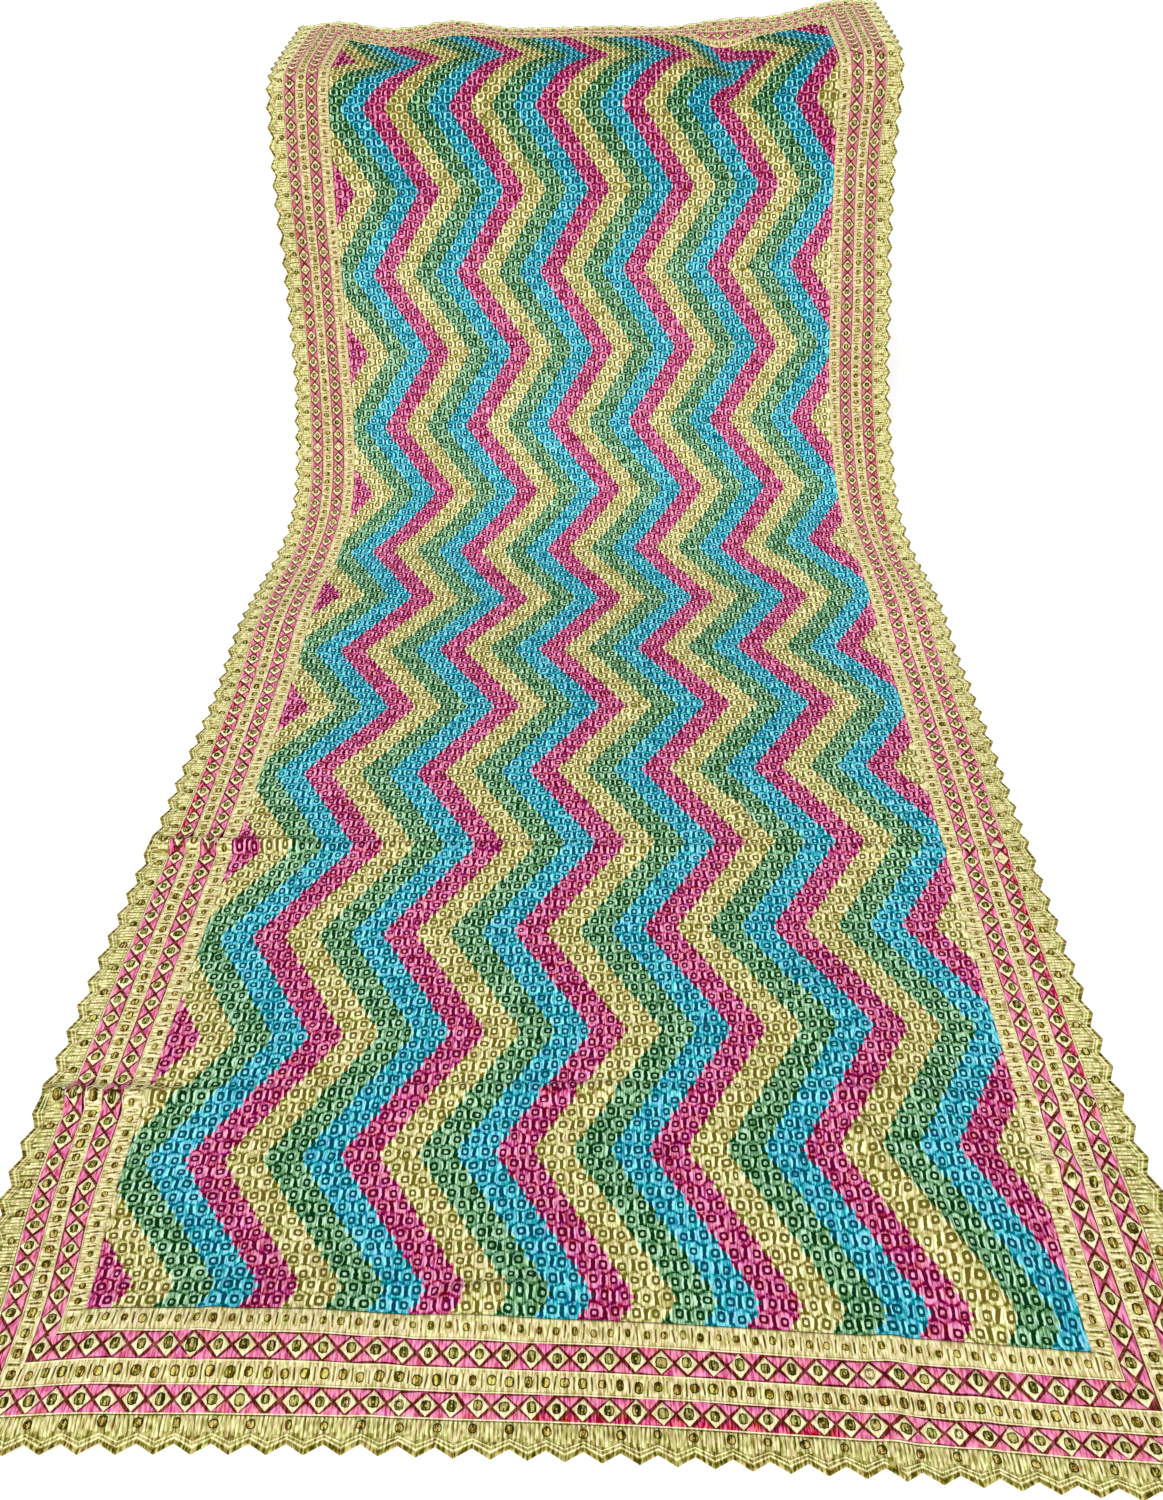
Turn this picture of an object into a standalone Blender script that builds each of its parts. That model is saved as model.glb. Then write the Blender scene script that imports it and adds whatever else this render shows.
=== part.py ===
"""A phulkari shawl that lies on the floor, sweeps up and runs over a raised edge.

Every piece is laid out flat first, by its distance across the cloth from the middle
line and its distance along it from the near points. cloth_point() then bends such a
point on to the path that the cloth takes. All sizes are in metres, +Z is up, and the
shawl stands on Z = 0 with its footprint centred on the origin.
"""

import math

import bmesh
import bpy
from mathutils import Vector

# The flat shawl, from the middle outwards.
FIELD_WIDTH = 0.793
FIELD_LENGTH = 1.994
BAND_WIDTH = 0.0709  # inner gold strip, pink strip, gold strip and second pink strip
EDGING_WIDTH = 0.0205  # from the band's seam to the bottom of the notches
POINT_DEPTH = 0.0074  # how far the points stand out past the notches
POINT_PITCH = 0.0271

WALL = 0.002  # the embroidered cloth
EDGING_WALL = 0.0018
SEAM_GAP = 0.0003
FIELD_COLUMNS = 22
BAND_COLUMNS = 2

HALF_FIELD = FIELD_WIDTH / 2
HALF_BAND = HALF_FIELD + BAND_WIDTH
HALF_NOTCH = HALF_BAND + EDGING_WIDTH
HALF_WIDTH = HALF_NOTCH + POINT_DEPTH
FIELD_START = BAND_WIDTH + EDGING_WIDTH + POINT_DEPTH
FIELD_END = FIELD_START + FIELD_LENGTH
LENGTH = FIELD_END + FIELD_START

# The path from the near points to the far ones: the stretch, its length, and the
# angle in degrees that it turns upwards through.
PATH = (
    ("on the floor", 1.080, 0.0),
    ("sweeping up", 0.452, 58.3),
    ("hanging", 0.340, 0.0),
    ("over the edge", 0.084, -53.0),
    ("on the top", LENGTH, 0.0),
)
BEND_START = sum(length for _, length, _ in PATH[:3])
BEND_END = BEND_START + PATH[3][1]

# How the cloth is pulled out of square: the distance along it, the sideways shift of
# its middle line, the share of its width, how far a row runs on for each metre
# towards +X, how far the whole row runs on, where the hem is pulled in, and how far
# its ends do for each metre squared from the middle.
PULL = (
    (-0.30, 0.003, 0.984, -0.034, 0.006, -0.060),
    (0.00, 0.003, 0.984, -0.034, 0.006, -0.060),
    (0.03, 0.003, 0.984, -0.036, 0.001, -0.062),
    (0.10, 0.003, 0.986, -0.036, 0.000, -0.052),
    (0.22, 0.001, 1.004, 0.010, 0.000, -0.038),
    (0.42, 0.005, 1.008, 0.020, 0.000, -0.016),
    (0.80, 0.017, 1.012, 0.016, 0.000, 0.000),
    (1.08, 0.020, 1.010, 0.018, 0.000, 0.000),
    (1.27, 0.024, 0.972, 0.024, 0.000, 0.000),
    (1.55, 0.012, 0.974, 0.022, 0.000, 0.000),
    (1.85, 0.004, 0.980, 0.020, 0.000, 0.000),
    (2.20, 0.010, 0.988, 0.020, 0.000, 0.000),
    (2.50, 0.010, 0.988, 0.020, 0.000, 0.000),
)

# The largest folds. Each is a soft ridge, or a trough where its height is below 0,
# along a line on the flat cloth: its start and its end, across and along, its height,
# and its reach to each side of the line.
FOLDS = (
    ("near right ridge", 0.25, 0.38, 0.34, 0.16, 0.007, 0.075),
    ("near right corner", 0.44, 0.02, 0.50, 0.16, 0.010, 0.090),
    ("near left wave", -0.42, 0.02, -0.36, 0.17, 0.004, 0.080),
    ("near left hump", -0.36, 0.055, -0.22, 0.080, 0.011, 0.090),
    ("near middle wave", -0.09, 0.10, -0.03, 0.15, 0.005, 0.060),
    ("foot left", -0.47, 0.98, -0.30, 1.10, 0.010, 0.120),
    ("foot right", 0.47, 1.02, 0.34, 1.16, 0.012, 0.120),
    ("hanging left edge", -0.50, 1.50, -0.47, 1.66, -0.014, 0.090),
    ("hanging right edge", 0.50, 1.36, 0.47, 1.58, 0.010, 0.090),
    ("far left hollow", -0.31, 1.98, -0.33, 2.20, -0.013, 0.120),
    ("far left corner", -0.50, 1.96, -0.49, 2.20, -0.008, 0.080),
    ("far right trough", 0.238, 1.90, 0.228, 2.07, -0.022, 0.080),
    ("far right corner", 0.46, 1.94, 0.46, 2.20, 0.025, 0.170),
    ("far middle edge", -0.12, 2.19, 0.13, 2.19, -0.012, 0.140),
)

# Finish of each kind of piece: its colour, in linear light, and its roughness.
FINISHES = {
    "field": ((0.16, 0.36, 0.30), 0.62),
    "band": ((0.52, 0.20, 0.20), 0.60),
    "edging": ((0.56, 0.50, 0.22), 0.55),
}


def smooth_value(table, at, column):
    """A column of a table at one distance, on a curve that passes through every row."""
    row = 1
    while row < len(table) - 3 and at > table[row + 1][0]:
        row += 1
    before, start, end, after = table[row - 1 : row + 3]
    span = end[0] - start[0]
    share = min(max((at - start[0]) / span, 0.0), 1.0)
    rise = (end[column] - before[column]) / (end[0] - before[0]) * span
    fall = (after[column] - start[column]) / (after[0] - start[0]) * span
    square, cube = share**2, share**3
    return (
        (2 * cube - 3 * square + 1) * start[column]
        + (cube - 2 * square + share) * rise
        + (3 * square - 2 * cube) * end[column]
        + (cube - square) * fall
    )


def path_point(along):
    """The forward distance, the height and the slope angle of the path."""
    forward = height = angle = 0.0
    left = along
    for _, length, turn in PATH:
        step = min(left, length)
        if turn:
            radius = length / math.radians(turn)
            turned = angle + step / radius
            forward += radius * (math.sin(turned) - math.sin(angle))
            height += radius * (math.cos(angle) - math.cos(turned))
            angle = turned
        else:
            forward += step * math.cos(angle)
            height += step * math.sin(angle)
        left -= step
        if left <= 0:
            break
    return forward, height, angle


def fold_lift(across, along):
    """How far the folds lift the cloth off its path at a point of the flat cloth."""
    lift = 0.0
    for _, x0, y0, x1, y1, height, reach in FOLDS:
        run = Vector((x1 - x0, y1 - y0))
        share = (Vector((across - x0, along - y0)) @ run) / run.length_squared
        share = min(max(share, 0.0), 1.0)
        apart = math.hypot(across - x0 - share * run.x, along - y0 - share * run.y)
        if apart < reach:
            lift += height * math.cos(math.pi * apart / (2 * reach)) ** 2
    return lift


def under_point(across, along):
    """A point of the flat cloth's underside, laid on the path."""
    shift, share, skew, run_on, bow = (smooth_value(PULL, along, k) for k in range(1, 6))
    forward, height, angle = path_point(along + run_on + skew * across + bow * across**2)
    lift = fold_lift(across, along)
    return Vector(
        (
            shift + share * across,
            forward - lift * math.sin(angle),
            height + lift * math.cos(angle),
        )
    )


def cloth_point(across, along, above):
    """A point at a distance above the underside, square to the cloth."""
    near = 0.002
    side = under_point(across + near, along) - under_point(across - near, along)
    run = under_point(across, along + near) - under_point(across, along - near)
    return under_point(across, along) + above * side.cross(run).normalized()


def stations(start, end):
    """Distances from start to end, a point's pitch apart and closer over the bend."""
    count = max(1, round((end - start) / POINT_PITCH))
    pitch = (end - start) / count
    places = []
    for k in range(count):
        at = start + k * pitch
        places.append(at)
        if BEND_START - pitch < at < BEND_END:
            places.append(at + pitch / 2)
    return places + [end]


def evenly(start, end, count):
    return [start + (end - start) * k / count for k in range(count + 1)]


def wall_object(name, finish, rows, thick):
    """A closed wall over rows of flat points, each row running towards +X."""
    mesh = bpy.data.meshes.new(name)
    shape = bmesh.new()
    sheets = []
    for above in (0.0, thick):
        sheets.append(
            [[shape.verts.new(cloth_point(x, y, above)) for x, y in row] for row in rows]
        )
    under, over = sheets
    last_row, last = len(rows) - 1, len(rows[0]) - 1
    for r in range(last_row):
        for c in range(last):
            shape.faces.new(
                (over[r][c], over[r][c + 1], over[r + 1][c + 1], over[r + 1][c])
            )
            shape.faces.new(
                (under[r][c], under[r + 1][c], under[r + 1][c + 1], under[r][c + 1])
            )
    rim = [(0, c) for c in range(last)]
    rim += [(r, last) for r in range(last_row)]
    rim += [(last_row, c) for c in range(last, 0, -1)]
    rim += [(r, 0) for r in range(last_row, 0, -1)]
    for (r, c), (s, d) in zip(rim, rim[1:] + rim[:1]):
        shape.faces.new((under[r][c], under[s][d], over[s][d], over[r][c]))
    bmesh.ops.triangulate(shape, faces=shape.faces)
    shape.to_mesh(mesh)
    shape.free()
    mesh.shade_smooth()
    mesh.set_sharp_from_angle(angle=math.radians(40))
    mesh.materials.append(cloth_material(name, finish))
    return bpy.data.objects.new(name, mesh)


def cloth_material(name, finish):
    colour, roughness = FINISHES[finish]
    material = bpy.data.materials.new(name)
    material.use_nodes = True
    shader = material.node_tree.nodes["Principled BSDF"]
    shader.inputs["Base Color"].default_value = (*colour, 1.0)
    shader.inputs["Roughness"].default_value = roughness
    shader.inputs["Metallic"].default_value = 0.0
    return material


def panel(name, finish, across, along):
    """A plain piece: its columns across by its rows along."""
    return wall_object(name, finish, [[(x, y) for x in across] for y in along], WALL)


def side_edging(name, side):
    """The pointed strip down one side, over the whole length of the shawl."""
    half_pitches = 2 * round(LENGTH / POINT_PITCH)
    rows = []
    for k, along in enumerate(evenly(0.0, LENGTH, half_pitches)):
        inner = side * (HALF_BAND + SEAM_GAP / 2)
        outer = side * (HALF_WIDTH if k % 2 else HALF_NOTCH)
        rows.append([(x, along) for x in sorted((inner, outer))])
    return wall_object(name, "edging", rows, EDGING_WALL)


def end_edging(name, seam, outwards):
    """The pointed strip along one end, between the two side strips."""
    half = HALF_BAND - SEAM_GAP / 2
    half_pitches = 2 * round(half / POINT_PITCH) * 2
    outer_row, seam_row = [], []
    for k, across in enumerate(evenly(-half, half, half_pitches)):
        reach = EDGING_WIDTH + (POINT_DEPTH if k % 2 else 0.0)
        outer_row.append((across, seam + outwards * reach))
        seam_row.append((across, seam + outwards * SEAM_GAP / 2))
    rows = [seam_row, outer_row] if outwards > 0 else [outer_row, seam_row]
    return wall_object(name, "edging", rows, EDGING_WALL)


def make_pieces():
    gap = SEAM_GAP / 2
    lengthwise = stations(FIELD_START + gap, FIELD_END - gap)
    field_columns = evenly(-HALF_FIELD + gap, HALF_FIELD - gap, FIELD_COLUMNS)
    left_columns = evenly(-HALF_BAND + gap, -HALF_FIELD - gap, BAND_COLUMNS)
    right_columns = evenly(HALF_FIELD + gap, HALF_BAND - gap, BAND_COLUMNS)
    end_columns = evenly(-HALF_BAND + gap, HALF_BAND - gap, FIELD_COLUMNS + 4)
    near_seam = FIELD_START - BAND_WIDTH
    far_seam = FIELD_END + BAND_WIDTH
    near_rows = evenly(near_seam + gap, FIELD_START - gap, BAND_COLUMNS)
    far_rows = evenly(FIELD_END + gap, far_seam - gap, BAND_COLUMNS)
    return [
        panel("field", "field", field_columns, lengthwise),
        panel("band_left", "band", left_columns, lengthwise),
        panel("band_right", "band", right_columns, lengthwise),
        panel("band_near", "band", end_columns, near_rows),
        panel("band_far", "band", end_columns, far_rows),
        side_edging("edging_left", -1),
        side_edging("edging_right", 1),
        end_edging("edging_near", near_seam, -1),
        end_edging("edging_far", far_seam, 1),
    ]


def footprint_middle(pieces):
    corners = [vertex.co for piece in pieces for vertex in piece.data.vertices]
    xs = [corner.x for corner in corners]
    ys = [corner.y for corner in corners]
    return Vector(((min(xs) + max(xs)) / 2, (min(ys) + max(ys)) / 2, 0.0))


def main():
    for old in list(bpy.data.objects):
        bpy.data.objects.remove(old)
    shawl = bpy.data.collections.new("phulkari_shawl")
    bpy.context.scene.collection.children.link(shawl)
    pieces = make_pieces()
    stand = bpy.data.objects.new("footprint", None)
    stand.location = -footprint_middle(pieces)
    shawl.objects.link(stand)
    for piece in pieces:
        shawl.objects.link(piece)
        piece.parent = stand


main()
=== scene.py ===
"""The looks of the phulkari shawl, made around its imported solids.

Each piece is laid out flat first, by its distance across the cloth from the middle line
and its distance along it from the near points, and cloth() then lays it on the drape.
All sizes are in metres, and colours are given as a screen shows them, from 0 to 255.
"""

import math

import bpy
import numpy as np
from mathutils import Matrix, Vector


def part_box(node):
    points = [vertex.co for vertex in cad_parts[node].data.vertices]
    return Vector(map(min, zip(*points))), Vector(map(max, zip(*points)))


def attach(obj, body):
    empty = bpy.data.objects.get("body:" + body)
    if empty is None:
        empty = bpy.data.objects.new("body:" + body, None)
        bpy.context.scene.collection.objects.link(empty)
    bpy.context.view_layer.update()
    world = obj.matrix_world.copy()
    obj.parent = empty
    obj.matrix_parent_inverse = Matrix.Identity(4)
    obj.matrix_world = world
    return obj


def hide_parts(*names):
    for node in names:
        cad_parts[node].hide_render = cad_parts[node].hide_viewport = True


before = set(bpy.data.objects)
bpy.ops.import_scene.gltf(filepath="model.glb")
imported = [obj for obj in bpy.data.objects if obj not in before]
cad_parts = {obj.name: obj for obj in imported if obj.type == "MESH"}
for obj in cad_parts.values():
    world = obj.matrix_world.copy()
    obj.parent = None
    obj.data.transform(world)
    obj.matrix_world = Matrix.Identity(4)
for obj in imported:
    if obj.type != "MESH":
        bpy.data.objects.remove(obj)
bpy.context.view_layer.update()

# The flat shawl, from the middle outwards, as in its solids.
FIELD_WIDTH = 0.793
FIELD_LENGTH = 1.994
BAND_WIDTH = 0.0709
EDGING_WIDTH = 0.0205  # to the bottom of the notches
POINT_DEPTH = 0.0074
POINT_PITCH = 0.0271
WALL = 0.002
EDGING_WALL = 0.0018
SEAM_GAP = 0.0003
FACE_SUNK = 0.0003  # how deep the embroidery's lowest parts lie in the solid wall
STRIP_SUNK = 0.0004
EDGING_SUNK = 0.0002
SLOPE_STEP = 0.002  # how far off the cloth's slope is read

HALF_FIELD = FIELD_WIDTH / 2
HALF_BAND = HALF_FIELD + BAND_WIDTH
FIELD_START = BAND_WIDTH + EDGING_WIDTH + POINT_DEPTH
FIELD_END = FIELD_START + FIELD_LENGTH
LENGTH = FIELD_END + FIELD_START

# The path of the cloth: the length of each stretch and the degrees it turns upwards.
PATH = (
    ("on the floor", 1.080, 0.0),
    ("sweeping up", 0.452, 58.3),
    ("hanging", 0.340, 0.0),
    ("over the edge", 0.084, -53.0),
    ("on the top", LENGTH, 0.0),
)

# How the cloth is pulled out of square: the distance along it, the sideways shift of
# its middle line, the share of its width, how far a row runs on for each metre towards
# +X, how far the whole row runs on, where the hem is pulled in, and how far its ends do
# for each metre squared from the middle.
PULL = (
    (-0.30, 0.003, 0.984, -0.034, 0.006, -0.060),
    (0.00, 0.003, 0.984, -0.034, 0.006, -0.060),
    (0.03, 0.003, 0.984, -0.036, 0.001, -0.062),
    (0.10, 0.003, 0.986, -0.036, 0.000, -0.052),
    (0.22, 0.001, 1.004, 0.010, 0.000, -0.038),
    (0.42, 0.005, 1.008, 0.020, 0.000, -0.016),
    (0.80, 0.017, 1.012, 0.016, 0.000, 0.000),
    (1.08, 0.020, 1.010, 0.018, 0.000, 0.000),
    (1.27, 0.024, 0.972, 0.024, 0.000, 0.000),
    (1.55, 0.012, 0.974, 0.022, 0.000, 0.000),
    (1.85, 0.004, 0.980, 0.020, 0.000, 0.000),
    (2.20, 0.010, 0.988, 0.020, 0.000, 0.000),
    (2.50, 0.010, 0.988, 0.020, 0.000, 0.000),
)

# The large folds, which the solids have too: a line on the flat cloth from its start to
# its end, across and along, its height (a trough is below 0), and its reach.
FOLDS = (
    ("near right ridge", 0.25, 0.38, 0.34, 0.16, 0.007, 0.075),
    ("near right corner", 0.44, 0.02, 0.50, 0.16, 0.010, 0.090),
    ("near left wave", -0.42, 0.02, -0.36, 0.17, 0.004, 0.080),
    ("near left hump", -0.36, 0.055, -0.22, 0.080, 0.011, 0.090),
    ("near middle wave", -0.09, 0.10, -0.03, 0.15, 0.005, 0.060),
    ("foot left", -0.47, 0.98, -0.30, 1.10, 0.010, 0.120),
    ("foot right", 0.47, 1.02, 0.34, 1.16, 0.012, 0.120),
    ("hanging left edge", -0.50, 1.50, -0.47, 1.66, -0.014, 0.090),
    ("hanging right edge", 0.50, 1.36, 0.47, 1.58, 0.010, 0.090),
    ("far left hollow", -0.31, 1.98, -0.33, 2.20, -0.013, 0.120),
    ("far left corner", -0.50, 1.96, -0.49, 2.20, -0.008, 0.080),
    ("far right trough", 0.238, 1.90, 0.228, 2.07, -0.022, 0.080),
    ("far right corner", 0.46, 1.94, 0.46, 2.20, 0.025, 0.170),
    ("far middle edge", -0.12, 2.19, 0.13, 2.19, -0.012, 0.140),
)

# The finer creases, written in the same way. The first ones were pressed in when the
# shawl lay folded up in eight.
CREASES = (
    ("packing crease 1", -0.52, 0.300, 0.52, 0.276, 0.0030, 0.010),
    ("packing crease 2", -0.52, 0.592, 0.52, 0.566, 0.0040, 0.010),
    ("packing crease 3", -0.52, 0.868, 0.52, 0.852, 0.0018, 0.012),
    ("packing crease 4", -0.52, 1.112, 0.52, 1.100, 0.0020, 0.012),
    ("packing crease 5", -0.52, 1.378, 0.52, 1.368, -0.0020, 0.010),
    ("packing crease 6", -0.52, 1.655, 0.52, 1.648, -0.0016, 0.012),
    ("packing crease 7", -0.52, 1.930, 0.52, 1.920, 0.0014, 0.012),
    ("near right pinch", 0.245, 0.245, 0.330, 0.125, 0.0065, 0.018),
    ("near right run", 0.215, 0.420, 0.250, 0.245, 0.0036, 0.020),
    ("near middle pinch", -0.110, 0.110, -0.040, 0.120, 0.0065, 0.012),
    ("near left pinch", -0.300, 0.075, -0.262, 0.165, 0.0034, 0.016),
    ("middle pinch", -0.030, 0.286, 0.045, 0.292, 0.0040, 0.012),
    ("middle right pinch", 0.164, 0.660, 0.178, 0.600, 0.0055, 0.012),
    ("right border pinch", 0.390, 0.226, 0.450, 0.214, 0.0045, 0.011),
    ("left border pinch", -0.500, 0.298, -0.400, 0.290, 0.0040, 0.011),
    ("foot middle", -0.06, 1.060, 0.09, 1.150, 0.0030, 0.045),
    ("foot right run", 0.18, 1.020, 0.30, 1.120, 0.0028, 0.040),
    ("hanging middle", -0.10, 1.500, -0.04, 1.760, -0.0030, 0.050),
    ("hanging right", 0.21, 1.580, 0.24, 1.900, 0.0035, 0.045),
    ("hanging left", -0.29, 1.420, -0.24, 1.700, 0.0030, 0.045),
    ("left border fold", -0.520, 0.598, -0.330, 0.588, 0.0090, 0.012),
    ("left lower fold", -0.520, 0.306, -0.370, 0.292, 0.0065, 0.012),
    ("near hem kink", 0.240, 0.098, 0.226, 0.004, 0.0052, 0.020),
    ("near hem ripple right", 0.300, 0.070, 0.292, 0.004, 0.0030, 0.018),
    ("near hem ripple left", -0.150, 0.080, -0.164, 0.004, 0.0030, 0.022),
    ("far right pinch", 0.236, 1.900, 0.229, 2.060, -0.0060, 0.026),
)

# Slow swells all over the cloth: the wavelength across, that along, and the height.
SWELLS = (
    (0.310, 0.530, 0.0013),
    (-0.190, 0.310, 0.0010),
    (0.120, -0.170, 0.0006),
    (0.074, 0.230, 0.0003),
)

# The embroidery of the field: rows of satin mounds, each two cells wide, laid like
# bricks, with a ring in the middle of each and a slit between one mound and the next.
CELLS = 94
ROWS = 170
CELL = FIELD_WIDTH / CELLS
ROW = FIELD_LENGTH / ROWS
ROW_WAVE = 0.13  # how far a row's edge waves to each side, as a share of a row
MOUND_HEIGHT = 0.0009
MOUND_CROWN = (0.6, 0.9, 1.0)  # a mound's height at a slit, halfway and at its ring
ROW_SINK = 0.78  # the share of that height left at a row's edge
DRAWN_ACROSS = 0.07  # how unevenly the stitches are drawn, as a share of a cell
DRAWN_ALONG = 0.04  # and of a row
STRIPE_CELLS = 4
ZIGZAG_ROWS = 20
ZIGZAG_OFFSET = 2  # cells from the field's left edge to the first tip
RING_RADIUS = 0.0026  # to the middle of its thread
RING_THREAD = 0.0012  # half the thread's width
RING_HEIGHT = 0.0010
RING_HIGHLIGHT = (0.0030, 0.0036, 0.0044, 0.0054)  # the radii where the painted highlight round a ring rises and fades
RING_HOLE = (0.0020, 0.0012)  # the radii where its middle starts and is full

# The threads. BUNDLE is the strands that make one streak.
STRAND_PITCH = 0.0006
BACK_PITCH = 0.0011
BACK_ROUGHNESS = 0.6
STRAND_HEIGHT = 0.00012
BUNDLE_WIDTH = 0.0019
BUNDLE_LENGTH = 0.0085
HUE_SPREAD = 0.15  # as a share of the colour circle
SHEEN = 0.04

# How the stitches wander and fray, as noise for each metre, and how far they wander.
FRAY_SCALE = 210.0
WANDER_SCALE = 75.0
WANDER = 0.004

# Where along the cloth the far end's painted shade, and then its browner border threads, start and are
# full.
FAR_SHADE_END = (1.62, 1.95)
BROWN_END = (0.90, 1.50)

# What the parts of a mound add to its thread's shade, which is painted light: painted shade
# in the slits and along the row lines (partly a dark thread there), painted highlight beside
# the slits, round the rings and in their middles; and what they add to its height.
MOUND_SHADES = (
    ("Slit Highlight", 0.42),
    ("Line", -0.60),
    ("Slit", -1.50),
    ("Ring Highlight", 0.05),
    ("Ring Centre", 0.34),
)
MOUND_HEIGHTS = (
    ("Line", -0.0002),
    ("Slit", -0.0006),
    ("Ring Centre", 0.0005),
)

# The strips of the border and their widths, from the field outwards.
STRIPS = (
    ("inner gold", 0.0170),
    ("inner pink", 0.0195),
    ("middle gold", 0.0150),
    ("outer pink", 0.0194),
)
STRIP_SHARES = (0.0, 0.10, 0.30, 0.70, 0.90)  # of its width, where a strip's crown bends
STRIP_CROWN = (0.0, 0.00025, 0.0004, 0.0004, 0.00025)
BAND_STEP = 0.0068
DIAMOND_PITCH = 0.0200
SMALL_PITCH = 0.0142
SEQUIN_RADIUS = 0.0041
MARK_SHARE = 0.35  # how far the marks of use go towards their colour
MARK_COLOUR = (152, 98, 78)

# The edging's surface from its seam to its points, as shares of the way out: the inner
# part is straight, and the rest follows the points. Its rim starts at RIM_SHARE.
EDGING_SHARES = (0.0, 0.12, 0.35, 0.55, 0.72, 0.86, 0.94, 1.0)
EDGING_CROWN = (0.0, 0.0003, 0.0004, 0.0003, 0.0004, 0.0002, 0.0004, 0.0)
FOLLOW_START = 0.35
FOLLOW_RUN = 0.45
RIM_SHARE = 0.8

# The lines along the points: the distance in from the rim, the width and the height.
POINT_LINES = (
    (0.0014, 0.0026, 0.0008),
    (0.0044, 0.0015, 0.0009),
    (0.0072, 0.0012, 0.0009),
)

# The ribs of the edging: the name, where they end, and which eighths of a pitch have one.
EDGING_RIBS = (
    ("long", 0.0160, (3, 4, 5)),
    ("middle", 0.0122, (1, 2, 6, 7)),
    ("short", 0.0018, (0,)),
)

# Thread colours: the hollow colour is the thread in painted shade, then its body, and the crest colour
# is its painted highlight.
THREADS = {
    "blue": ((0, 68, 84), (70, 167, 185), (150, 232, 246)),
    "pink": ((92, 8, 42), (186, 88, 126), (250, 172, 204)),
    "gold": ((102, 94, 54), (193, 186, 128), (255, 250, 202)),
    "green": ((4, 46, 14), (106, 152, 110), (194, 231, 197)),
    "strip_gold": ((110, 98, 54), (204, 192, 138), (254, 248, 204)),
    "strip_pink": ((66, 36, 30), (150, 84, 84), (220, 150, 142)),
    "cream": ((112, 90, 52), (214, 200, 148), (255, 248, 212)),
    "rose": ((120, 36, 60), (206, 102, 140), (246, 170, 194)),
    "deep_rose": ((98, 14, 34), (192, 62, 94), (238, 130, 160)),
    "olive": ((22, 24, 4), (94, 90, 36), (184, 176, 100)),
    "amber": ((44, 32, 4), (132, 110, 44), (216, 198, 112)),
    "edging_gold": ((74, 66, 26), (186, 178, 116), (254, 250, 200)),
    "rim_gold": ((46, 42, 8), (138, 126, 60), (220, 208, 134)),
}
STRIPE_ORDER = ("blue", "pink", "gold", "green")

# How much browner the threads of the border look on the raised end, from 0 to 1.
FAR_BROWN = {"strip_gold": 0.18, "cream": 0.26, "rose": 0.55, "deep_rose": 0.45}

LENS = 24.0
CAMERA_HEIGHT = 0.874
CAMERA_BACK = 0.1471  # from the near points of the flat cloth
CAMERA_SIDE = 0.0016
CAMERA_PITCH = 44.549
FLOOR_DROP = 0.0006
FLOOR_REACH = 30.0
KEY_ENERGY = 2.98
KEY_SPREAD = 36  # degrees
KEY_TURN = (34, -12, 0)
SKY_STRENGTH = 0.52


def smooth_value(table, at, column):
    """A column of a table at many distances, on a curve that passes through each row."""
    table = np.array(table)
    row = np.clip(np.searchsorted(table[:, 0], at, side="right") - 1, 1, len(table) - 3)
    before, start, end, after = (table[row + k] for k in (-1, 0, 1, 2))
    span = end[:, 0] - start[:, 0]
    share = np.clip((at - start[:, 0]) / span, 0.0, 1.0)
    rise = (end[:, column] - before[:, column]) / (end[:, 0] - before[:, 0]) * span
    fall = (after[:, column] - start[:, column]) / (after[:, 0] - start[:, 0]) * span
    square, cube = share**2, share**3
    return (
        (2 * cube - 3 * square + 1) * start[:, column]
        + (cube - 2 * square + share) * rise
        + (3 * square - 2 * cube) * end[:, column]
        + (cube - square) * fall
    )


def path_place(along):
    """The forward distances, the heights and the slope angles of the path."""
    forward, height, angle = (np.zeros(len(along)) for _ in range(3))
    left = along.copy()
    for _, length, turn in PATH:
        step = np.minimum(left, length)
        if turn:
            radius = length / math.radians(turn)
            turned = angle + step / radius
            forward += radius * (np.sin(turned) - np.sin(angle))
            height += radius * (np.cos(angle) - np.cos(turned))
            angle = turned
        else:
            forward += step * np.cos(angle)
            height += step * np.sin(angle)
        left -= step
    return forward, height, angle


def lift_of(across, along, lines):
    """How far folds or creases lift the cloth off its path."""
    lift = np.zeros(len(across))
    for _, x0, y0, x1, y1, height, reach in lines:
        run_x, run_y = x1 - x0, y1 - y0
        share = ((across - x0) * run_x + (along - y0) * run_y) / (run_x**2 + run_y**2)
        share = np.clip(share, 0.0, 1.0)
        apart = np.hypot(across - x0 - share * run_x, along - y0 - share * run_y)
        lift += height * np.cos(np.pi / 2 * np.minimum(apart / reach, 1.0)) ** 2
    return lift


def swell_of(across, along):
    lift = np.zeros(len(across))
    for k, (wide, long, height) in enumerate(SWELLS):
        lift += height * (1 + np.sin(2 * np.pi * (across / wide + along / long) + 2 * k)) / 2
    return lift


def under(across, along, fine=True):
    """Points of the cloth's underside, laid on the path."""
    shift, share, skew, run_on, bow = (smooth_value(PULL, along, k) for k in range(1, 6))
    forward, height, angle = path_place(along + run_on + skew * across + bow * across**2)
    lift = lift_of(across, along, FOLDS)
    if fine:
        lift += lift_of(across, along, CREASES) + swell_of(across, along)
    return np.stack(
        [
            shift + share * across,
            forward - lift * np.sin(angle),
            height + lift * np.cos(angle),
        ],
        axis=1,
    )


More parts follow.
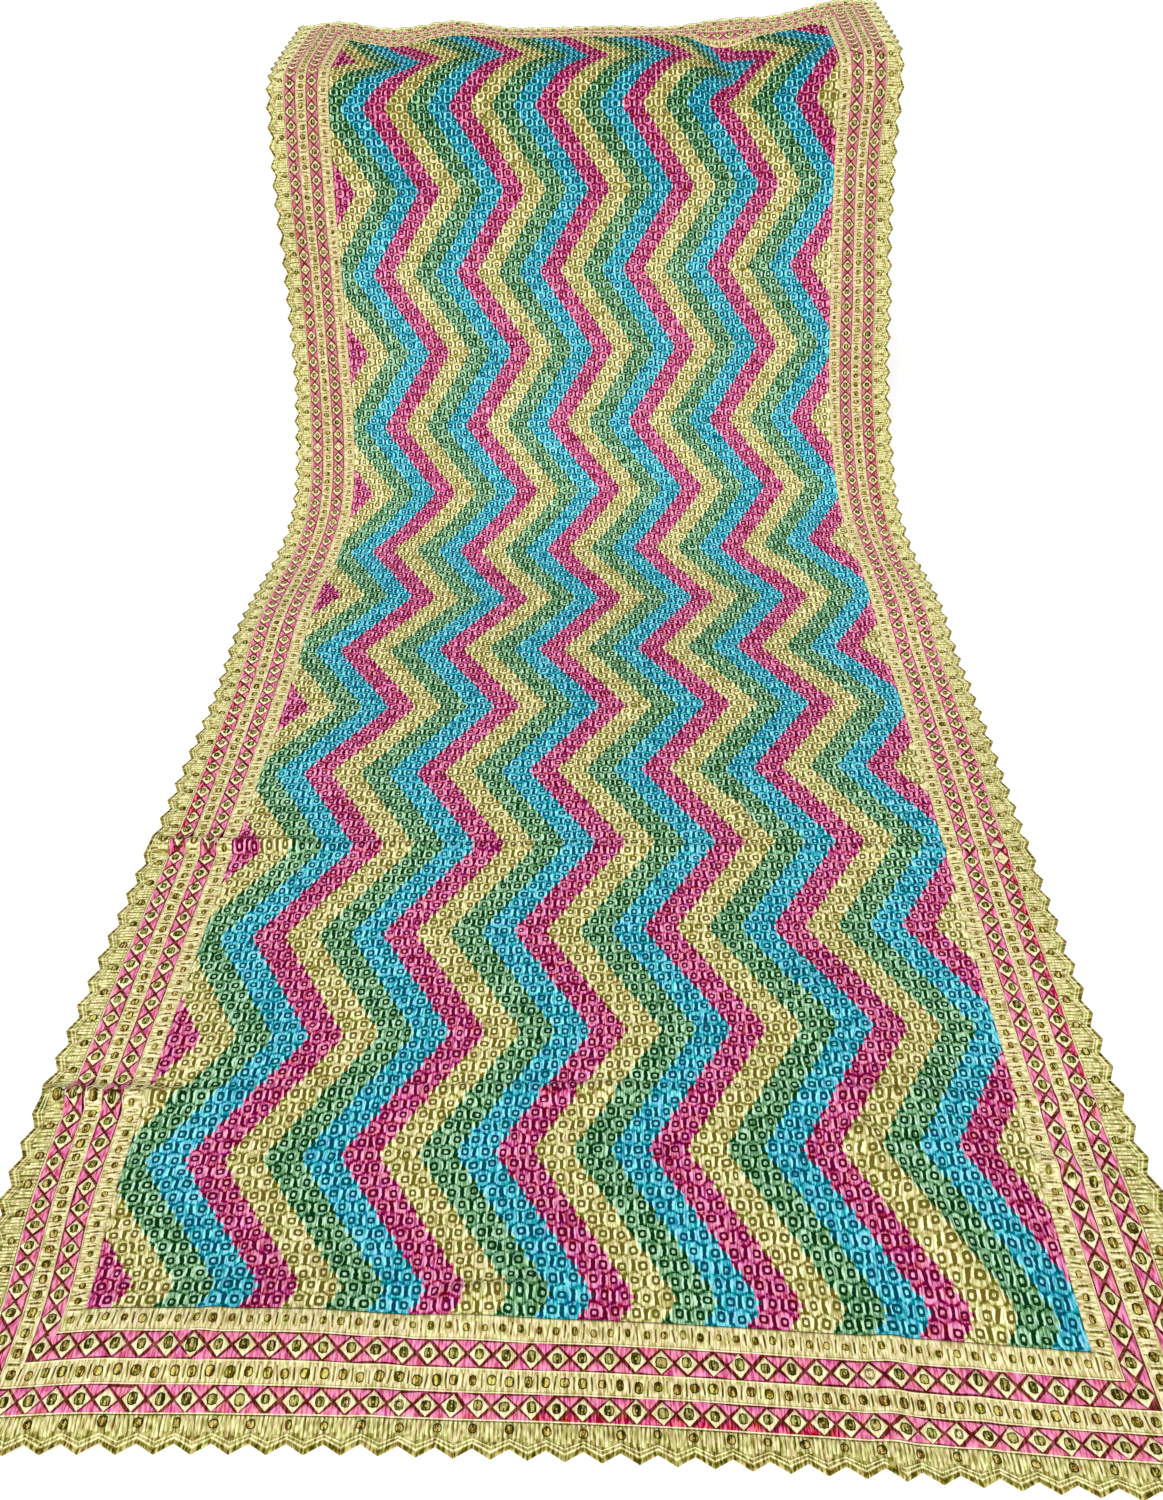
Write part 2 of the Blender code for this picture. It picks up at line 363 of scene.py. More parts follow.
def cloth(across, along, above, fine=True):
    """Points at a distance above the underside, square to the cloth, in the frame."""
    step = SLOPE_STEP
    side = under(across + step, along, fine) - under(across - step, along, fine)
    run = under(across, along + step, fine) - under(across, along - step, fine)
    square = np.cross(side, run)
    square /= np.linalg.norm(square, axis=1)[:, None]
    return under(across, along, fine) + np.asarray(above)[:, None] * square - MIDDLE


def footprint_middle():
    """The middle of the footprint on the path, from where the frame holds the field."""
    edge = np.linspace(-1, 1, 801)
    ends, sides = edge * HALF_FIELD, (edge + 1) / 2 * FIELD_LENGTH + FIELD_START
    across = np.concatenate([ends, ends, sides * 0 - HALF_FIELD, sides * 0 + HALF_FIELD])
    along = np.concatenate([ends * 0 + FIELD_START, ends * 0 + FIELD_END, sides, sides])
    points = np.concatenate([cloth(across, along, across * 0 + up, False) for up in (0, WALL)])
    low, high = (np.array(corner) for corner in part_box("field"))
    middle = (points.min(0) + points.max(0)) / 2 - (low + high) / 2
    return np.array([middle[0], middle[1], 0.0])


MIDDLE = np.zeros(3)
MIDDLE = footprint_middle()


def linear(colour):
    """A screen colour, from 0 to 255, as linear light with full alpha."""
    parts = [part / 255 for part in colour]
    return (*(p / 12.92 if p <= 0.04045 else ((p + 0.055) / 1.055) ** 2.4 for p in parts), 1)


def put(tree, kind, *values, **settings):
    """A new node. Its first inputs are linked to sockets or set to plain values."""
    node = tree.nodes.new(kind)
    for name, value in settings.items():
        setattr(node, name, value)
    for socket, value in zip(node.inputs, values):
        if isinstance(value, bpy.types.NodeSocket):
            tree.links.new(value, socket)
        elif value is not None:
            socket.default_value = value
    return node


def calc(tree, operation, *values):
    return put(tree, "ShaderNodeMath", *values, operation=operation).outputs[0]


def rise(tree, value, start, end):
    """A soft step from 0 at start to 1 at end."""
    node = put(
        tree, "ShaderNodeMapRange", value, start, end, 0.0, 1.0, interpolation_type="SMOOTHSTEP"
    )
    return node.outputs[0]


def total(tree, start, *parts):
    """start plus each value times its weight."""
    for value, weight in parts:
        start = calc(tree, "MULTIPLY_ADD", value, weight, start)
    return start


def group(name, inputs, outputs):
    """A shader node group and its input and output nodes."""
    tree = bpy.data.node_groups.new(name, "ShaderNodeTree")
    for side, sockets in (("INPUT", inputs), ("OUTPUT", outputs)):
        for label, kind in sockets:
            tree.interface.new_socket(label, in_out=side, socket_type=f"NodeSocket{kind}")
    return tree, put(tree, "NodeGroupInput"), put(tree, "NodeGroupOutput")


def place_group(tree, made, **inputs):
    node = put(tree, "ShaderNodeGroup", node_tree=made)
    for label, value in inputs.items():
        socket = node.inputs[label.replace("_", " ")]
        if isinstance(value, bpy.types.NodeSocket):
            tree.links.new(value, socket)
        else:
            socket.default_value = value
    return node.outputs


def make_strands():
    """Threads side by side, with their round tops and tones, and the uneven streaks
    that bundles of them make. Each value runs from 0 to 1."""
    tree, given, found = group(
        "strands",
        [("Across", "Float"), ("Along", "Float"), ("Pitch", "Float")],
        [("Top", "Float"), ("Tone", "Float"), ("Streak", "Float")],
    )
    across = calc(tree, "DIVIDE", given.outputs["Across"], given.outputs["Pitch"])
    along = calc(tree, "DIVIDE", given.outputs["Along"], given.outputs["Pitch"])
    place = put(tree, "ShaderNodeCombineXYZ", calc(tree, "MULTIPLY", across, 0.35),
                calc(tree, "MULTIPLY", along, 0.06)).outputs[0]
    wander = put(tree, "ShaderNodeTexNoise", place, None, 1.0, 2.0).outputs[0]
    wound = total(tree, across, (wander, 1.6))
    top = calc(tree, "PINGPONG", wound, 0.5)
    round_top = calc(tree, "POWER", calc(tree, "MULTIPLY", top, 2.0), 0.6)
    number = calc(tree, "FLOOR", calc(tree, "ADD", wound, 0.5))
    tone = put(tree, "ShaderNodeTexWhiteNoise", None, number, noise_dimensions="1D").outputs[0]
    bundle = put(
        tree,
        "ShaderNodeCombineXYZ",
        calc(tree, "DIVIDE", given.outputs["Across"], BUNDLE_WIDTH),
        calc(tree, "DIVIDE", given.outputs["Along"], BUNDLE_LENGTH),
    ).outputs[0]
    streak = rise(tree, put(tree, "ShaderNodeTexNoise", bundle, None, 1.0, 1.0).outputs[0], 0.34, 0.66)
    for label, value in (("Top", round_top), ("Tone", tone), ("Streak", streak)):
        tree.links.new(value, found.inputs[label])
    return tree


def make_mounds():
    """The satin mounds of the field, from the flat place: where they get painted shade and
    painted highlight.

    Painted shade goes in the slits and along the row lines, painted highlight beside the
    slits and round the rings, and the rings' middles get a painted highlight that turns to
    painted shade at the far end. How much more painted shade the far end gets runs from 0
    to 1 along the cloth.
    """
    tree, given, found = group(
        "mounds",
        [("Flat", "Vector")],
        [("Line", "Float"), ("Slit", "Float"), ("Slit Highlight", "Float"), ("Ring Highlight", "Float"),
         ("Ring Centre", "Float"), ("Tone", "Float")],
    )
    place = given.outputs["Flat"]
    rough = put(tree, "ShaderNodeTexNoise", place, None, FRAY_SCALE, 2.0).outputs[0]
    drift = put(tree, "ShaderNodeTexNoise", place, None, WANDER_SCALE, 1.0).outputs["Color"]
    drift = put(tree, "ShaderNodeVectorMath", drift, (0.5, 0.5, 0.5), operation="SUBTRACT").outputs[0]
    reach = (WANDER, WANDER, 0.0)
    drifted = put(tree, "ShaderNodeVectorMath", drift, reach, place, operation="MULTIPLY_ADD")
    flat = put(tree, "ShaderNodeSeparateXYZ", drifted.outputs[0]).outputs
    # Towards the far end, from 0 to 1, the mounds get painted shade: a darker tone, wider slits, darker
    # spots along the row lines and dark ring middles.
    far_shade = rise(tree, flat[1], *FAR_SHADE_END)
    u = calc(tree, "DIVIDE", calc(tree, "ADD", flat[0], HALF_FIELD), CELL)
    v = calc(tree, "DIVIDE", calc(tree, "SUBTRACT", flat[1], FIELD_START), ROW)
    nearest = calc(tree, "ROUND", v)
    turn = calc(tree, "MULTIPLY", calc(tree, "SUBTRACT", u, nearest), math.pi)
    edge = total(tree, nearest, (calc(tree, "COSINE", turn), -ROW_WAVE))
    past = calc(tree, "SUBTRACT", v, edge)
    row = calc(tree, "SUBTRACT", nearest, calc(tree, "LESS_THAN", past, 0.0))
    peak = calc(tree, "ABSOLUTE", calc(tree, "COSINE", turn))
    # The row lines: partly a dark thread, partly painted shade between the rows, darker at spots along
    # them.
    join = total(tree, 0.55, (peak, calc(tree, "MULTIPLY_ADD", far_shade, 0.9, 0.50)))
    line = calc(
        tree,
        "MULTIPLY",
        calc(tree, "MULTIPLY", rise(tree, calc(tree, "ABSOLUTE", past), 0.14, 0.04), join),
        rise(tree, rough, 0.36, 0.58),
    )
    brick = calc(tree, "SUBTRACT", calc(tree, "SUBTRACT", u, row), 1.0)
    from_slit = calc(tree, "PINGPONG", brick, 1.0)
    from_middle = calc(tree, "ABSOLUTE", calc(tree, "SUBTRACT", calc(tree, "SUBTRACT", v, row), 0.5))
    ragged_slit = total(tree, from_slit, (rough, 0.30), (far_shade, -0.05))
    ragged_end = total(tree, from_middle, (rough, 0.50))
    within = rise(tree, ragged_end, 0.62, 0.50)
    # The slits get painted shade, and the mound's edges beside them a painted highlight.
    slit = calc(tree, "MULTIPLY", rise(tree, ragged_slit, 0.40, 0.27), within)
    slit_highlight = calc(tree, "MULTIPLY", rise(tree, ragged_slit, 0.62, 0.48), within)
    ring_across = calc(tree, "MULTIPLY", calc(tree, "SUBTRACT", 1.0, from_slit), CELL)
    ring_along = calc(tree, "MULTIPLY", from_middle, ROW)
    round_place = put(tree, "ShaderNodeCombineXYZ", ring_across, ring_along).outputs[0]
    from_ring = put(tree, "ShaderNodeVectorMath", round_place, operation="LENGTH").outputs["Value"]
    # A faint painted highlight round each ring, and in the ring's middle a painted highlight that turns
    # to painted shade towards the far end.
    inside, full, fading, outside = RING_HIGHLIGHT
    highlight_end = rise(tree, from_ring, outside, fading)
    ring_highlight = calc(tree, "MULTIPLY", highlight_end, rise(tree, from_ring, inside, full))
    centre_highlight_to_shade = calc(tree, "MULTIPLY_ADD", far_shade, -2.4, 1.0)
    centre = calc(tree, "MULTIPLY", rise(tree, from_ring, *RING_HOLE), centre_highlight_to_shade)
    number = calc(tree, "FLOOR", calc(tree, "MULTIPLY", brick, 0.5))
    mound = put(tree, "ShaderNodeCombineXYZ", number, row).outputs[0]
    even = put(tree, "ShaderNodeTexWhiteNoise", mound, noise_dimensions="2D").outputs[0]
    # The mound's own tone differs at random, with painted shade added towards the far end.
    tone = total(tree, even, (far_shade, -0.6))
    for label, value in (("Line", line), ("Slit", slit), ("Slit Highlight", slit_highlight), ("Ring Highlight", ring_highlight),
                         ("Ring Centre", centre), ("Tone", tone)):
        tree.links.new(value, found.inputs[label])
    return tree


def make_handling():
    """Slow changes of tone and hue over the whole cloth, a few faint marks of use, and
    how far along the raised end a place is."""
    tree, given, found = group(
        "handling",
        [("Flat", "Vector")],
        [("Tone", "Float"), ("Hue", "Float"), ("Mark", "Float"), ("Far", "Float")],
    )
    flat = given.outputs["Flat"]
    slow = put(tree, "ShaderNodeTexNoise", flat, None, 5.0, 3.0, 0.6).outputs[0]
    patches = put(tree, "ShaderNodeTexNoise", flat, None, 48.0, 4.0, 0.6).outputs[0]
    tone = total(tree, 0.0, (slow, 0.5), (patches, 0.5))
    hue = put(tree, "ShaderNodeTexNoise", flat, None, 120.0, 2.0, 0.6).outputs[0]
    mark = rise(tree, put(tree, "ShaderNodeTexNoise", flat, None, 9.0, 5.0, 0.7).outputs[0], 0.68, 0.80)
    far = rise(tree, put(tree, "ShaderNodeSeparateXYZ", flat).outputs[1], *BROWN_END)
    for label, value in (("Tone", tone), ("Hue", hue), ("Mark", mark), ("Far", far)):
        tree.links.new(value, found.inputs[label])
    return tree


STRANDS = make_strands()
MOUNDS = make_mounds()
HANDLING = make_handling()


def thread_material(name, thread, crosswise=False, mounds=False, level=0.5, streak=0.45,
                    pitch=STRAND_PITCH, roughness=0.42, back=False):
    """Satin stitch in one thread colour. Its strands run along the cloth, or across it.

    level is the middle shade, from 0 at the painted shade of the hollows to 1 at the painted
    highlight of the crests, and streak is how much the bundles of strands change it.
    """
    material = bpy.data.materials.new(name)
    material.use_nodes = True
    tree = material.node_tree
    shader = tree.nodes["Principled BSDF"]
    flat = put(tree, "ShaderNodeUVMap", uv_map="flat").outputs[0]
    sides = put(tree, "ShaderNodeSeparateXYZ", flat).outputs
    strand = place_group(
        tree,
        STRANDS,
        Across=sides[1 if crosswise else 0],
        Along=sides[0 if crosswise else 1],
        Pitch=pitch,
    )
    handling = place_group(tree, HANDLING, Flat=flat)
    # The round tops of the strands get a painted highlight; their tones, the streaks and the handling's
    # tone differ at random.
    weights = [
        (strand["Tone"], 0.20),
        (strand["Top"], 0.12),
        (strand["Streak"], streak),
        (handling["Tone"], 0.30),
    ]
    height = calc(tree, "MULTIPLY", strand["Top"], STRAND_HEIGHT)
    if mounds:
        parts = place_group(tree, MOUNDS, Flat=flat)
        weights.append((parts["Tone"], 0.18))
    middle = sum(weight for _, weight in weights) / 2
    shade = total(tree, level - middle, *weights)
    if mounds:
        shade = total(tree, shade, *((parts[part], weight) for part, weight in MOUND_SHADES))
        height = total(tree, height, *((parts[part], lift) for part, lift in MOUND_HEIGHTS))
    ramp = put(tree, "ShaderNodeValToRGB", shade)
    stops = ramp.color_ramp.elements
    stops[0].position, stops[1].position = 0.02, 0.50
    stops.new(0.96)
    for stop, colour in zip(stops, THREADS[thread]):
        stop.color = linear(colour)
    hue = calc(tree, "MULTIPLY_ADD", handling["Hue"], HUE_SPREAD, 0.5 - HUE_SPREAD / 2)
    # The colour is deepened where the painted shade is darkest.
    deep = calc(tree, "MULTIPLY_ADD", rise(tree, shade, 0.60, 0.05), 0.30, 1.0)
    tinted = put(tree, "ShaderNodeHueSaturation", hue, deep, 1.0, 1.0, ramp.outputs[0])
    dulled = put(tree, "ShaderNodeMix", None, data_type="RGBA")
    far_brown = FAR_BROWN.get(thread, 0.0)
    brown = total(tree, 0.0, (handling["Mark"], MARK_SHARE), (handling["Far"], far_brown))
    tree.links.new(brown, dulled.inputs[0])
    tree.links.new(tinted.outputs[0], dulled.inputs[6])
    dulled.inputs[7].default_value = linear(MARK_COLOUR)
    tree.links.new(dulled.outputs[2], shader.inputs["Base Color"])
    gloss = total(tree, roughness + 0.10, (strand["Top"], -0.12), (handling["Tone"], 0.06))
    tree.links.new(gloss, shader.inputs["Roughness"])
    bump = put(tree, "ShaderNodeBump", 0.35 if back else 0.8, 1.0)
    tree.links.new(height, bump.inputs["Height"])
    tree.links.new(bump.outputs[0], shader.inputs["Normal"])
    shader.inputs["Specular IOR Level"].default_value = SHEEN
    return material


def back_material(name, thread, crosswise, level=0.5):
    """The flatter stitches on the cloth's back."""
    return thread_material(
        name, thread, crosswise, level=level, pitch=BACK_PITCH, roughness=BACK_ROUGHNESS, back=True
    )


def new_piece(name, points, loops, totals, flat, materials, finish=None):
    """A mesh piece from its corners, which rides with the shawl's one body."""
    mesh = bpy.data.meshes.new(name)
    mesh.vertices.add(len(points))
    mesh.vertices.foreach_set("co", points.astype(np.float32).ravel())
    mesh.loops.add(len(loops))
    mesh.loops.foreach_set("vertex_index", loops.astype(np.int32))
    mesh.polygons.add(len(totals))
    starts = np.concatenate([[0], np.cumsum(totals)[:-1]]).astype(np.int32)
    mesh.polygons.foreach_set("loop_start", starts)
    mesh.polygons.foreach_set("loop_total", totals.astype(np.int32))
    if finish is not None:
        mesh.polygons.foreach_set("material_index", finish.astype(np.int32))
    mesh.update(calc_edges=True)
    mesh.uv_layers.new(name="flat").uv.foreach_set("vector", flat[loops].astype(np.float32).ravel())
    mesh.shade_smooth()
    for material in materials:
        mesh.materials.append(material)
    piece = bpy.data.objects.new(name, mesh)
    bpy.context.scene.collection.objects.link(piece)
    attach(piece, "root")
    return piece


def grid_loops(rows, columns, upwards=True, first=0):
    """The corners of the faces between rows of points, each with so many columns."""
    r, c = np.meshgrid(np.arange(rows - 1), np.arange(columns - 1), indexing="ij")
    corner = first + r * columns + c
    order = (0, 1, columns + 1, columns) if upwards else (0, columns, columns + 1, 1)
    return np.stack([corner + step for step in order], axis=-1).reshape(-1, 4)


def sheet_piece(name, x, y, up, materials, finish):
    """An open sheet over a grid of flat points, rows along and columns across."""
    rows, columns = x.shape
    loops = grid_loops(rows, columns, upwards=up.max() > WALL / 2)
    points = cloth(x.ravel(), y.ravel(), up.ravel())
    flat = np.stack([x.ravel(), y.ravel()], axis=1)
    return new_piece(name, points, loops.ravel(), np.full(len(loops), 4), flat, materials, finish)


def wall_piece(name, x, y, up, materials, finish):
    """A closed wall: a face over a grid of flat points, its back and its rim.

    Its first two materials are the face's, and those after them the back's in turn.
    """
    rows, columns = x.shape
    size = rows * columns
    face = grid_loops(rows, columns)
    back = grid_loops(rows, columns, upwards=False, first=size)
    index = np.arange(size).reshape(rows, columns)
    rim = np.concatenate([index[0, :-1], index[:-1, -1], index[-1, :0:-1], index[:0:-1, 0]])
    after = np.roll(rim, -1)
    sides = np.stack([rim + size, after + size, after, rim], axis=1)
    loops = np.concatenate([face, back, sides])
    x, y = np.tile(x.ravel(), 2), np.tile(y.ravel(), 2)
    points = cloth(x, y, np.concatenate([up.ravel(), np.zeros(size)]))
    flat = np.stack([x, y], axis=1)
    behind = np.minimum(finish.ravel() + 2, len(materials) - 1)
    finish = np.concatenate([finish.ravel(), behind, np.full(len(sides), 2)])
    return new_piece(name, points, loops.ravel(), np.full(len(loops), 4), flat, materials, finish)


def stamped(name, shape, places, material, above=WALL, uneven=0.0):
    """One shape stamped on the cloth at many places, as a single joined mesh.

    A place is its point across and along, and the direction that the shape's second
    axis takes there. uneven turns, stretches and shifts each one a little.
    """
    corners, faces = np.array(shape[0]), shape[1]
    places = np.array(places)
    chance = np.random.default_rng(len(places))
    count = len(places)
    turn = chance.normal(0, uneven * 0.6, count)
    size = 1 + chance.normal(0, uneven * 0.5, (count, 2))
    shift = chance.normal(0, uneven * 0.003, (count, 2))
    out_x = places[:, 2] * np.cos(turn) - places[:, 3] * np.sin(turn)
    out_y = places[:, 2] * np.sin(turn) + places[:, 3] * np.cos(turn)
    u, v = (corners[:, k] * size[:, k, None] for k in (0, 1))
    x = (places[:, 0] + shift[:, 0])[:, None] + u * out_y[:, None] + v * out_x[:, None]
    y = (places[:, 1] + shift[:, 1])[:, None] - u * out_x[:, None] + v * out_y[:, None]
    up = above + np.tile(corners[:, 2], count)
    points = cloth(x.ravel(), y.ravel(), up)
    one = np.concatenate([np.array(face) for face in faces])
    loops = (one + len(corners) * np.arange(count)[:, None]).ravel()
    totals = np.tile([len(face) for face in faces], count)
    flat = np.stack([x.ravel(), y.ravel()], axis=1)
    return new_piece(name, points, loops, totals, flat, [material])


def turned(profile, segments, square=0.0, closed=True):
    """A shape turned round its middle: the profile is (radius, height) from outside in."""
    corners, faces = [], []
    for k in range(segments):
        angle = 2 * math.pi * k / segments
        bulge = 1 + square * abs(math.sin(2 * angle))
        for radius, height in profile:
            corners.append((radius * bulge * math.cos(angle), radius * bulge * math.sin(angle), height))
    deep = len(profile)
    for k in range(segments):
        here, there = k * deep, (k + 1) % segments * deep
        for j in range(deep - 1):
            faces.append((here + j, there + j, there + j + 1, here + j + 1))
    if closed:
        faces.append(tuple(k * deep + deep - 1 for k in range(segments)))
    return corners, faces


def stitch_outline(half_width, start, end):
    return [(-half_width, start), (half_width, start), (half_width, end), (-half_width, end)]


def padded(outline, levels):
    """A soft pad on an outline: each level is its share of the outline and its height."""
    middle = np.mean(outline, axis=0)
    corners, faces = [], []
    sides = len(outline)
    for share, height in levels:
        for corner in outline:
            x, y = middle + share * (np.array(corner) - middle)
            corners.append((x, y, height))
    for j in range(len(levels) - 1):
        for k in range(sides):
            a, b = j * sides + k, j * sides + (k + 1) % sides
            faces.append((a, b, b + sides, a + sides))
    faces.append(tuple(range(len(corners) - sides, len(corners))))
    return corners, faces


def around(out, pitch, start=0.0):
    """Places a pitch apart along a rectangle, a distance out from the field."""
    wide, long = HALF_FIELD + out, FIELD_LENGTH / 2 + out
    middle = FIELD_START + FIELD_LENGTH / 2
    places = []
    for out_x, out_y, half, other in ((0, -1, wide, long), (1, 0, long, wide),
                                      (0, 1, wide, long), (-1, 0, long, wide)):
        count = round(2 * half / pitch)
        for k in range(count):
            run = -half + (k + start) * 2 * half / count
            x = out_x * other - out_y * run
            y = out_y * other + out_x * run
            places.append((x, middle + y, out_x, out_y))
    return places


def side_places(steps, out, every, phase):
    """Places on the edging, every so many of its half pitches, on all four sides."""
    places = []
    side_count = 2 * round(LENGTH / POINT_PITCH)
    for side in (-1, 1):
        for k in range(phase, side_count * steps, every):
            y = k / steps * LENGTH / side_count
            places.append((side * (HALF_BAND + out), y, side, 0))
    half = HALF_BAND - SEAM_GAP / 2
    end_count = 4 * round(half / POINT_PITCH)
    for seam, facing in ((FIELD_START - BAND_WIDTH, -1), (FIELD_END + BAND_WIDTH, 1)):
        for k in range(phase, end_count * steps, every):
            x = -half + k / steps * 2 * half / end_count
            places.append((x, seam + facing * out, 0, facing))
    return places


def stripe_of(row, cell):
    """Which colour a place has, its rows and cells counted from the field's corner."""
    tip = np.abs((row - 1.5) % ZIGZAG_ROWS - ZIGZAG_ROWS / 2)
    return ((cell - ZIGZAG_OFFSET - tip) % (4 * STRIPE_CELLS)) // STRIPE_CELLS


def make_field():
    columns = np.arange(2 * CELLS + 1) / 2
    row, third = np.divmod(np.arange(3 * ROWS + 1), 3)
    share = third / 3
    u, r = np.meshgrid(columns, row)
    share = np.broadcast_to(share[:, None], u.shape)
    wave = -ROW_WAVE * np.cos(np.pi * (u - r)) * (1 - 2 * share)
    wave[0] = wave[-1] = 0
    wave[1] *= 0.6
    wave[-2] *= 0.6
    v = r + share + wave
    chance = np.random.default_rng(CELLS)
    slack = np.zeros(u.shape)
    slack[1:-1, 1:-1] = 1
    drawn_u = u + slack * chance.normal(0, DRAWN_ACROSS, u.shape)
    drawn_v = v + slack * chance.normal(0, DRAWN_ALONG, u.shape)
    from_slit = np.abs((u - r) % 2 - 1)
    crown = np.interp(from_slit, (0, 0.5, 1), MOUND_CROWN) * np.where(share > 0, 1.0, ROW_SINK)
    up = WALL - FACE_SUNK + MOUND_HEIGHT * crown
    face_row, face_cell = np.meshgrid(
        (np.arange(3 * ROWS) + 0.5) / 3, (np.arange(2 * CELLS) + 0.5) / 2, indexing="ij"
    )
    finish = stripe_of(face_row, face_cell).ravel()
    materials = [thread_material(f"field_{name}", name, mounds=True) for name in STRIPE_ORDER]
    field = sheet_piece(
        "chevron_field",
        drawn_u * CELL - HALF_FIELD,
        drawn_v * ROW + FIELD_START,
        up,
        materials,
        finish,
    )
    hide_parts("field")
    u, v = np.meshgrid(np.arange(CELLS + 1), np.arange(ROWS + 1))
    face_row, face_cell = np.meshgrid(np.arange(ROWS) + 0.5, np.arange(CELLS), indexing="ij")
    backs = [back_material(f"back_{name}", name, True, level=0.52) for name in STRIPE_ORDER]
    back = sheet_piece(
        "chevron_back",
        u * CELL - HALF_FIELD,
        v * ROW + FIELD_START,
        np.zeros(u.shape),
        backs,
        stripe_of(face_row, face_cell).ravel(),
    )
    row, cell = np.meshgrid(np.arange(ROWS), np.arange(1, CELLS), indexing="ij")
    has_ring = (row + cell) % 2 == 0
    row, cell = row[has_ring], cell[has_ring]
    colour = stripe_of(row + 0.5, cell)
    tube = RING_THREAD
    ring = turned(
        [(RING_RADIUS + tube, -0.0002), (RING_RADIUS, RING_HEIGHT), (RING_RADIUS - tube, -0.0002)],
        8,
        square=0.18,
        closed=False,
    )
    above = WALL + MOUND_HEIGHT - FACE_SUNK
    for number, name in enumerate(STRIPE_ORDER):
        chosen = colour == number
        x = cell[chosen] * CELL - HALF_FIELD
        y = (row[chosen] + 0.5) * ROW + FIELD_START
        places = np.stack([x, y, x * 0, x * 0 + 1], axis=1)
        # The rings are dark: partly a darker thread, partly painted shade in the gap round each ring's
        # middle.
        material = thread_material(f"ring_{name}", name, level=-0.08, streak=0.20, pitch=0.0005)
        stamped(f"rings_{name}", ring, places, material, above, uneven=0.22)


def strip_lines():
    """The distances out from the field where the band's surface bends, and its heights."""
    outs, heights, kinds = [], [], []
    start = 0.0
    for number, (_, width) in enumerate(STRIPS):
        for share, height in zip(STRIP_SHARES, STRIP_CROWN):
            outs.append(start + share * width)
            heights.append(height)
            kinds.append(number)
        start += width
    return np.array(outs + [start]), np.array(heights + [0.0]), np.array(kinds)


def make_bands():
    outs, heights, kinds = strip_lines()
    gap = SEAM_GAP / 2
    outs = np.clip(outs, gap, BAND_WIDTH - gap)
    steps = np.linspace(FIELD_START + gap, FIELD_END - gap, round(FIELD_LENGTH / BAND_STEP) + 1)
    inner = np.linspace(-HALF_FIELD, HALF_FIELD, round(FIELD_WIDTH / BAND_STEP) + 1)
    across = np.concatenate([-(HALF_FIELD + outs[::-1]), inner[1:-1], HALF_FIELD + outs])
    materials = {}
    for side in ("side", "end"):
        crosswise = side == "side"
        materials[side] = [
            thread_material(f"gold_strip_{side}", "strip_gold", crosswise, level=0.50, streak=0.55),
            # The pink strip is kept dark, so it shows as dark lines between the raised motifs: partly
            # dark outline thread, partly painted shade in the gaps.
            thread_material(f"pink_strip_{side}", "strip_pink", crosswise, level=0.14, streak=0.40),
            back_material(f"gold_back_{side}", "strip_gold", crosswise),
            back_material(f"pink_back_{side}", "strip_pink", crosswise),
        ]
    names = {}
    for name, facing in (("left", -1), ("right", 1)):
        x, y = np.meshgrid(facing * (HALF_FIELD + outs), steps)
        up = WALL - STRIP_SUNK + np.broadcast_to(heights, x.shape)
        finish = np.broadcast_to(kinds % 2, (len(steps) - 1, len(kinds)))
        if facing < 0:
            x, up, finish = x[:, ::-1], up[:, ::-1], finish[:, ::-1]
        names[name] = wall_piece(f"border_{name}", x, y, up, materials["side"], finish)
    for name, seam, facing in (("near", FIELD_START, -1), ("far", FIELD_END, 1)):
        x, y = np.meshgrid(across, seam + facing * outs)
        out_x = np.abs(x) - HALF_FIELD
        out_y = facing * (y - seam)
        out = np.maximum(out_x, out_y)
        up = WALL - STRIP_SUNK + np.interp(out, outs, heights)
        middle = (out[1:, 1:] + out[:-1, :-1] + out[1:, :-1] + out[:-1, 1:]) / 4
        finish = kinds[np.clip(np.searchsorted(outs, middle) - 1, 0, len(kinds) - 1)] % 2
        if facing < 0:
            x, y, up, finish = x[::-1], y[::-1], up[::-1], finish[::-1]
        names[name] = wall_piece(f"border_{name}", x, y, up, materials["end"], finish)
    for name, piece in names.items():
        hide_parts(f"band_{name}")
        side = name in ("left", "right")


